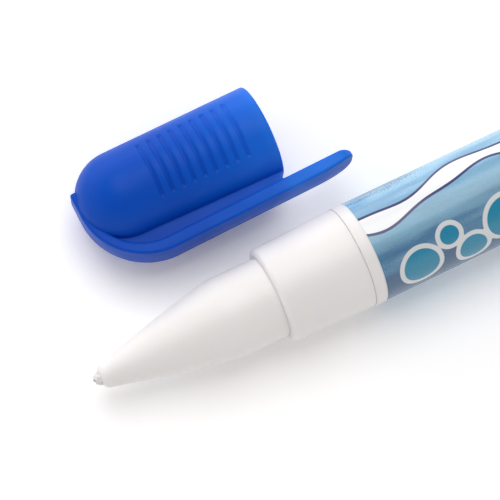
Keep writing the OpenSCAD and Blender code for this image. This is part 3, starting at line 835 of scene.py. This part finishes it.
def cap_tube(material):
    """Domed tube with a bore, a seal socket and the pressed finger grooves."""
    mouth = arc((MOUTH_ROUND, CAP_R - MOUTH_ROUND), MOUTH_ROUND, 180, 90, steps=5)
    dome = arc((DOME_AT, 0), DOME_R, 90, 0, steps=30)[:-1] + [(CAP_L, 0)]
    meet = DOME_BORE_AT + math.sqrt(DOME_BORE_R**2 - SOCKET_R**2)
    bend = math.degrees(math.asin(SOCKET_R / DOME_BORE_R))
    inside = [
        (CAP_L - DOME_WALL, 0), (CAP_L - DOME_WALL, WELL_R), (SEAL_END, WELL_R), (SEAL_END, SEAL_R),
        (SEAL_AT, SEAL_R), (SEAL_AT, SOCKET_R), (meet, SOCKET_R),
    ]
    inside += arc((DOME_BORE_AT, 0), DOME_BORE_R, bend, 90, steps=10)[1:]
    inside += [(LAND_L, CAP_BORE_R), (CHAMFER_L, CAP_BORE_R), (0, CAP_BORE_R + CHAMFER_H)]
    side = [(s, cap_side_r(s)) for s in cap_stations()]
    obj = turned("clip_cap", mouth + side + dome + inside, steps=CAP_STEPS)
    tree, sockets = groove_tree()
    pressed = obj.modifiers.new("grooves", "NODES")
    pressed.node_group = tree
    for key, value in GROOVES.items():
        pressed[sockets[key]] = value
    pressed[sockets["Finish"]] = material
    return applied(obj)


def clip_line(way):
    """Point on the clip's outer face `way` mm from its lip, its outward normal and thickness."""
    # The plate over the dome is flat and even
    if way < PLATE_L:
        return Vector((way - CLIP_LIP, CAP_L)), Vector((0, 1)), CLIP_ROOT_T
    # The bend turns until it leans in, and what is left goes straight on as the leaf
    a = math.pi / 2 - (way - PLATE_L) / CLIP_BEND_R
    past = max(-CLIP_LEAN - a, 0) * CLIP_BEND_R
    a = max(a, -CLIP_LEAN)
    out = Vector((math.cos(a), math.sin(a)))
    thick = CLIP_ROOT_T + (CLIP_T - CLIP_ROOT_T) * (1 - max(math.sin(a), 0))
    point = Vector((BEND_X, BEND_AT)) + out * CLIP_BEND_R + Vector((out.y, -out.x)) * past
    # The free end drops away outside in a curve, and is rounded inside
    thinned = max(way - (CLIP_TOTAL - CLIP_TIP_L), 0)
    drop = TIP_CURVE_R - math.sqrt(TIP_CURVE_R**2 - thinned**2)
    rounded = max(way - (CLIP_TOTAL - CLIP_END_ROUND_L), 0) / CLIP_END_ROUND_L
    return point - out * drop, out, thick - drop - CLIP_END_ROUND * rounded**2


def clip_half(way):
    """Half the clip's width `way` mm from its lip, without its round corners."""
    height = clip_line(way)[0].y
    narrowing = max(height - BEND_AT, 0) / CLIP_BEND_R
    return CLIP_W / 2 - (CLIP_W - CLIP_ROOT_W) / 2 * narrowing


def edge_levels(thick):
    """Depths below the outer face and insets from the side, round both edges of the clip."""
    radius = min(CLIP_EDGE_R, thick / 2)
    levels = []
    for i in range(EDGE_STEPS + 1):
        a = math.pi / 2 * i / EDGE_STEPS
        levels.append((radius * (1 - math.cos(a)), radius * (1 - math.sin(a))))
    return levels + [(thick - depth, inset) for depth, inset in reversed(levels)]


def lofted(name, rows):
    """A solid through rows of points on its +y side, mirrored to the -y side."""
    bm = bmesh.new()
    made = []
    for row in rows:
        ring = [bm.verts.new(p) for p in row]
        made.append(ring + [bm.verts.new((x, -y, z)) for x, y, z in reversed(row)])
    around = len(made[0])
    for low, high in zip(made, made[1:]):
        for k in range(around):
            n = (k + 1) % around
            bm.faces.new((low[k], low[n], high[n], high[k]))
    for ring in (made[0], made[-1]):
        for k in range(around // 2 - 1):
            bm.faces.new((ring[k], ring[k + 1], ring[around - 2 - k], ring[around - 1 - k]))
    return finished(name, bm)


def clip_places():
    """Rows of the strap: place along it, angle of its end's outline, radius of its corner."""
    turn = CLIP_TOTAL - CLIP_CORNER_R
    places = [(CLIP_LIP_R, math.pi / 2 * (2 - i / LIP_STEPS), CLIP_LIP_R) for i in range(LIP_STEPS)]
    for i in range(LEAF_STEPS + 1):
        places.append((CLIP_LIP_R + (turn - CLIP_LIP_R) * i / LEAF_STEPS, math.pi / 2, 0))
    for i in range(1, CORNER_STEPS + 1):
        places.append((turn, math.pi / 2 * (1 - i / CORNER_STEPS), CLIP_CORNER_R))
    return places


def clip_strap():
    """Wrap-round clip: plate over the dome, bend and leaf, with rounded edges and ends."""
    rows = []
    for way, a, corner in clip_places():
        row = []
        full = clip_line(way)[2]
        for depth, inset in edge_levels(full):
            reach = max(corner - inset, 0) if corner else -inset
            half = clip_half(way) - corner + reach * math.sin(a)
            point, out, thick = clip_line(way + reach * math.cos(a))
            point = point - out * depth * thick / full
            row.append((point.x, half, point.y))
        rows.append(row)
    return lofted("strap", rows)


def outer_r(station):
    """Radius of the cap's outside, tube or dome."""
    if station < DOME_AT:
        return cap_side_r(station)
    return math.sqrt(DOME_R**2 - (station - DOME_AT) ** 2)


def strap_inside(station):
    """Distance of the clip's inner face from the cap's axis."""
    centre = BEND_AT + CLIP_T - CLIP_ROOT_T
    if station < BEND_AT:
        return CLIP_BEND_OUT - CLIP_T - (BEND_AT - station) * math.tan(CLIP_LEAN)
    return BEND_X + math.sqrt((CLIP_BEND_R - CLIP_T) ** 2 - max(station - centre, 0) ** 2)


def clip_web():
    """Web between the clip and the cap's side, with a round end and a flare along its foot."""
    columns, levels = 44, 18
    rows = []
    for i in range(columns + 1):
        station = WEB_AT + (WEB_END_AT - WEB_AT) * i / columns
        foot, head = outer_r(station), strap_inside(station)
        row = []
        for k in range(levels + 1):
            x = foot - WEB_IN_TUBE + (max(head, foot) + WEB_IN_STRAP - foot + WEB_IN_TUBE) * k / levels
            rise = min(max((x - foot + WEB_FLARE) / WEB_FLARE, 0), 1)
            half = WEB_W / 2 + WEB_FLARE * (1 - math.sqrt(1 - (1 - rise) ** 2))
            z = station
            # The first row is bowed in, as the end of a slot is
            if i == 0:
                slot_r = (head - foot) / 2
                z += math.sqrt(max(slot_r**2 - (x - foot - slot_r) ** 2, 0)) - slot_r
            row.append((x, half, z))
        rows.append(row)
    return lofted("web", rows)


def well_plug():
    """The hollow in front of the tip, cut clear after the strap is joined on."""
    start, end = SEAL_AT - WELL_CLEAR, CAP_L - DOME_WALL
    return turned("well", [(start, 0), (start, WELL_R), (end, WELL_R), (end, 0)], steps=WELL_STEPS)


def clip_cap(material):
    """The whole cap: its tube with the strap and the web joined on."""
    obj = cap_tube(material)
    for other, operation in (
        (clip_strap(), "UNION"), (clip_web(), "UNION"), (well_plug(), "DIFFERENCE"),
    ):
        joint = obj.modifiers.new("join", "BOOLEAN")
        joint.operation = operation
        joint.object = other
        joint.solver = "EXACT"
        applied(obj)
        bpy.data.objects.remove(other)
    return obj


def tip_seal():
    """Soft ring in the cap's socket."""
    profile = [(SEAL_AT, SEAL_WIDE_R), (SEAL_AT, SEAL_R), (SEAL_END, SEAL_R), (SEAL_END, WELL_R)]
    return turned("soft_seal", softened(profile, SEAL_SOFT), steps=SEAL_STEPS)


# ---------------------------------------------------------------- the dressed pieces

white_barrel = white_plastic("barrel_white", (0.87, 0.86, 0.853))
white_nose = white_plastic("nose_white", (0.88, 0.87, 0.862))
rubber = plain_grained("seal_rubber", (0.72, 0.72, 0.69), 0.6, 0.4)
inner_plastic = plain_grained("valve_acetal", (0.80, 0.80, 0.76), 0.4, 0.6)
plated = drawn_metal("nickel_plate", (0.62, 0.61, 0.58), 0.3)
wire = drawn_metal("valve_wire", (0.56, 0.57, 0.6), 0.28)
ground_steel = drawn_metal("ball_ground", (0.6, 0.61, 0.63), 0.2)
fluid = plain_grained("dried_white", (0.84, 0.83, 0.81), 0.8, 0.25)
blue = cap_plastic()

seated(barrel(), PEN_PLACE, "pen", white_barrel, ["bottle"])
seated(label(), PEN_PLACE, "pen", label_film(), ["label_sleeve"], sharp=50)
seated(collar(), PEN_PLACE, "pen", white_nose, ["front_collar"])
seated(nose(), PEN_PLACE, "pen", white_nose, ["nose_cone"])
seated(nozzle(), PEN_PLACE, "pen", plated, ["metal_tip"])
seated(crust(), PEN_PLACE, "pen", fluid, sharp=60)
seated(clip_cap(blue), CAP_PLACE, "cap", blue, ["cap"], sharp=40)
seated(tip_seal(), CAP_PLACE, "cap", rubber, ["tip_seal"])

# Inner pieces keep their own solids and only take a finish
INNER = {
    "neck_gasket": rubber, "valve_plug": inner_plastic, "plunger": inner_plastic,
    "valve_pin": wire, "valve_spring": wire, "mixing_ball": ground_steel,
}
for node, material in INNER.items():
    for holder in frame["nodes"][node].material_slots:
        holder.material = material


# ---------------------------------------------------------------- floor, light, camera

# How white the floor is to the camera and in gloss and clear parts, and to light that bounces
SEEN_WHITE, PLAIN_WHITE = 1.28, 0.92
FLOOR_HALF = 1.5

# The camera: angle round the part, height, turn about its own axis, in degrees, then how far it
# stands from its aim, its lens and the width of its picture, in millimetres
CAMERA_AROUND, CAMERA_UP, CAMERA_TURN = -140.94, 77.85, 25.0
CAMERA_AWAY = 0.32506
CAMERA_AIM = Vector((-0.03405, -0.00338, 0.007))
CAMERA_LENS, CAMERA_PLATE = 167.4, 36.0

# The studio's light: how far its bright side lies up and left for the camera, its strength from
# the dark side to the bright, and the heights between which it falls to its share overhead
BRIGHT_UP, BRIGHT_LEFT = 0.88, 0.47
WORLD_GLOW = ((0.0, 1.25), (0.55, 1.0), (0.8, 1.36), (1.0, 3.0))
WORLD_PEAK, WORLD_ABOVE = 3.0, 0.34
ABOVE_FROM, ABOVE_TO = 0.1, 0.6
WORLD_TINT = (1.0, 0.97, 0.965)


def floor():
    """Plain pale floor that keeps the shadow and reads as white to the camera."""
    bm = bmesh.new()
    bmesh.ops.create_grid(bm, x_segments=1, y_segments=1, size=FLOOR_HALF)
    obj = finished("floor", bm)
    f = Finish("floor_white", (PLAIN_WHITE,) * 3, 0.9)
    f.skin.inputs["Specular IOR Level"].default_value = 0.0
    ray = f.node("ShaderNodeLightPath").outputs
    mirrored = f.math("MAXIMUM", ray["Is Glossy Ray"], ray["Is Transmission Ray"])
    seen = f.math("MAXIMUM", ray["Is Camera Ray"], mirrored)
    shade = f.math("MULTIPLY_ADD", seen, SEEN_WHITE - PLAIN_WHITE, PLAIN_WHITE)
    f.link(shade, f.skin.inputs["Base Color"])
    obj.data.materials.append(f.material)


def camera_axes():
    """The camera's right, its up and the way back from its aim."""
    around, up = math.radians(CAMERA_AROUND), math.radians(CAMERA_UP)
    back = Vector((math.cos(up) * math.cos(around), math.cos(up) * math.sin(around), math.sin(up)))
    level = Vector((0, 0, 1)).cross(back).normalized()
    rise = back.cross(level)
    turn = math.radians(CAMERA_TURN)
    right = level * math.cos(turn) + rise * math.sin(turn)
    return right, back.cross(right), back


def camera():
    """The camera, turned to its aim."""
    right, rise, back = camera_axes()
    data = bpy.data.cameras.new("camera")
    data.lens = CAMERA_LENS
    data.sensor_width = CAMERA_PLATE
    data.clip_start, data.clip_end = 0.01, 20.0
    obj = bpy.data.objects.new("camera", data)
    turn = Matrix((right, rise, back)).transposed().to_4x4()
    obj.matrix_world = Matrix.Translation(CAMERA_AIM + back * CAMERA_AWAY) @ turn
    bpy.context.scene.collection.objects.link(obj)
    bpy.context.scene.camera = obj


def lamp(name, sideways, upwards, height, size, power):
    """A square lamp, placed in metres: right of the camera's aim, up in its picture, and over it."""
    right, rise, _ = camera_axes()
    data = bpy.data.lights.new(name, "AREA")
    data.shape = "SQUARE"
    data.size = size
    data.energy = power
    obj = bpy.data.objects.new(name, data)
    flat_right = Vector((right.x, right.y, 0)).normalized()
    flat_rise = Vector((rise.x, rise.y, 0)).normalized()
    obj.location = CAMERA_AIM + flat_right * sideways + flat_rise * upwards + Vector((0, 0, height))
    obj.rotation_mode = "QUATERNION"
    obj.rotation_quaternion = (obj.location - CAMERA_AIM).to_track_quat("Z", "Y")
    bpy.context.scene.collection.objects.link(obj)


def world():
    """Pale studio: brighter on the lamp's side, dim overhead where the camera is."""
    right, rise, _ = camera_axes()
    made = bpy.data.worlds.new("studio")
    made.use_nodes = True
    w = Nodes(made.node_tree)
    way = w.node("ShaderNodeTexCoord").outputs["Generated"]
    side = w.node("ShaderNodeVectorMath", operation="DOT_PRODUCT")
    w.link(way, side.inputs[0])
    side.inputs[1].default_value = (rise * BRIGHT_UP - right * BRIGHT_LEFT).normalized()
    stops = [(at, (strength / WORLD_PEAK,) * 3) for at, strength in WORLD_GLOW]
    glow = w.ramp(w.span(side.outputs["Value"], -1, 1), *stops)
    height = w.split(way)[2]
    overhead = w.step(height, ABOVE_FROM, ABOVE_TO, WORLD_PEAK, WORLD_PEAK * WORLD_ABOVE)
    back = w.tree.nodes["Background"]
    back.inputs["Color"].default_value = (*WORLD_TINT, 1)
    w.link(w.math("MULTIPLY", glow, overhead), back.inputs["Strength"])
    bpy.context.scene.world = made


floor()
camera()
lamp("key", sideways=-0.05, upwards=0.38, height=0.92, size=0.7, power=4.2)
world()
bpy.context.scene.view_settings.view_transform = "Standard"
